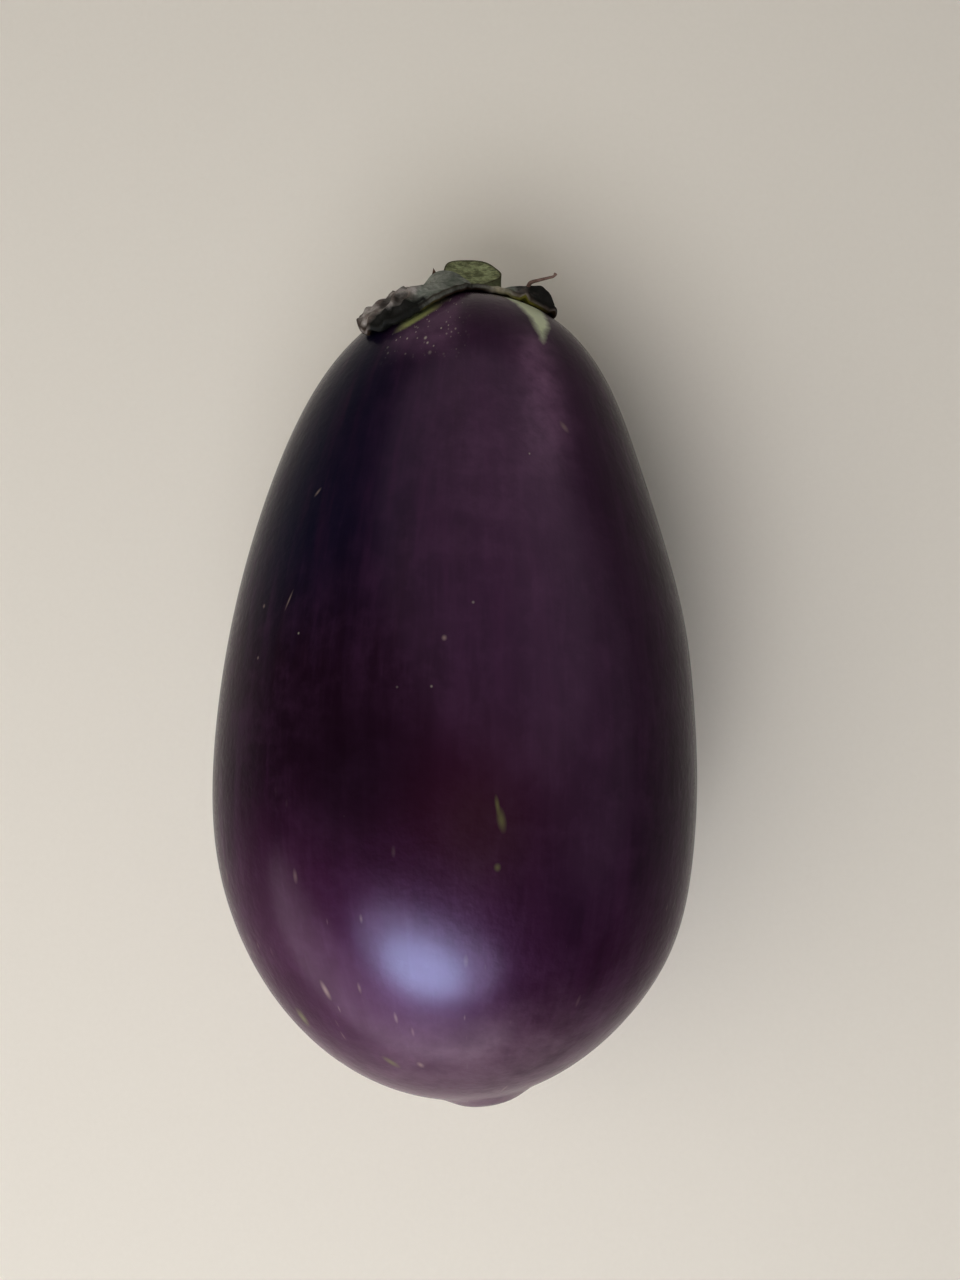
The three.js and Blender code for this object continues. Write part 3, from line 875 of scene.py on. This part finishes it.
def make_stalk():
    """The stalk: out across its foot, up its wall and in across the cut."""
    last = 3 * STALK_ROWS
    row, side = grid(last, STALK_FACES)
    share = np.minimum(1, np.minimum(row, last - row) / STALK_ROWS)
    up = np.clip(row / STALK_ROWS - 1, 0, 1)
    points = np.where(
        (row <= STALK_ROWS)[..., None],
        on_stalk_foot(share, side),
        np.where((up < 1)[..., None], on_stalk_wall(up, side), on_stalk_cut(share, side)),
    )
    points = points - stalk_axis * (STALK_INSET * smooth(0, 1, up))[..., None]
    on_cut = smooth(1.9, 2, row / STALK_ROWS)
    marks = {
        "face": [on_cut],
        "rim": [0.9 * np.maximum(bell((share - 1) / 0.06) * on_cut, smooth(0.9, 1, up) * (1 - on_cut))],
    }
    return closed_mesh("stalk_stub", [placed(points)], marks)


settle(make_stalk(), "stem", stalk_material())


# Floor, light and camera


def make_floor():
    """A pale level floor."""
    mesh = bpy.data.meshes.new("floor")
    reach = FLOOR_REACH
    corners = [(-reach, -reach, 0), (reach, -reach, 0), (reach, reach, 0), (-reach, reach, 0)]
    mesh.from_pydata(corners, [], [(0, 1, 2, 3)])
    floor = bpy.data.objects.new("floor", mesh)
    bpy.context.scene.collection.objects.link(floor)
    mesh.materials.append(floor_material())


def make_light(name, heading, elevation, distance, size, radiance, colour, shows_in):
    """An oval light that faces the fruit, from a heading round from -Y towards +X. Its power is
    four times its area times its radiance, and it shows in the colour of things or in their
    gloss."""
    heading, elevation = heading * DEGREE, elevation * DEGREE
    level = math.cos(elevation)
    back = Vector((math.sin(heading) * level, -math.cos(heading) * level, math.sin(elevation)))
    data = bpy.data.lights.new(name, "AREA")
    data.shape = "ELLIPSE"
    data.size, data.size_y = size
    data.energy = math.pi * size[0] * size[1] * radiance
    data.color = colour
    light = bpy.data.objects.new(name, data)
    light.location = Vector(LIGHTS_AIM) + back * distance
    light.rotation_mode = "QUATERNION"
    light.rotation_quaternion = back.to_track_quat("Z", "Y")
    light.visible_glossy = shows_in == "gloss"
    light.visible_diffuse = shows_in == "colour"
    bpy.context.scene.collection.objects.link(light)


def make_camera():
    """The camera over the fruit, its top towards +Y."""
    place = Vector((np.array(CAMERA_PLACE) + shift) * MM)
    aim = Vector((np.array(CAMERA_AIM) + shift) * MM)
    back = (place - aim).normalized()
    right = Vector((0, 1, 0)).cross(back).normalized()
    data = bpy.data.cameras.new("camera")
    data.lens = CAMERA_LENS
    data.clip_start = 0.01
    camera = bpy.data.objects.new("camera", data)
    turned = Matrix((right, back.cross(right), back)).transposed().to_4x4()
    camera.matrix_world = Matrix.Translation(place) @ turned
    bpy.context.scene.collection.objects.link(camera)
    bpy.context.scene.camera = camera


make_floor()
for name, values in LIGHTS.items():
    make_light(name, *values)
make_camera()

world = bpy.data.worlds.new("room")
world.use_nodes = True
world.node_tree.nodes["Background"].inputs["Color"].default_value = ROOM_TONE
world.node_tree.nodes["Background"].inputs["Strength"].default_value = ROOM_STRENGTH
bpy.context.scene.world = world
bpy.context.scene.view_settings.view_transform = "Standard"
bpy.context.scene.view_settings.gamma = PICTURE_GAMMA
bpy.context.scene.view_settings.exposure = PICTURE_EXPOSURE
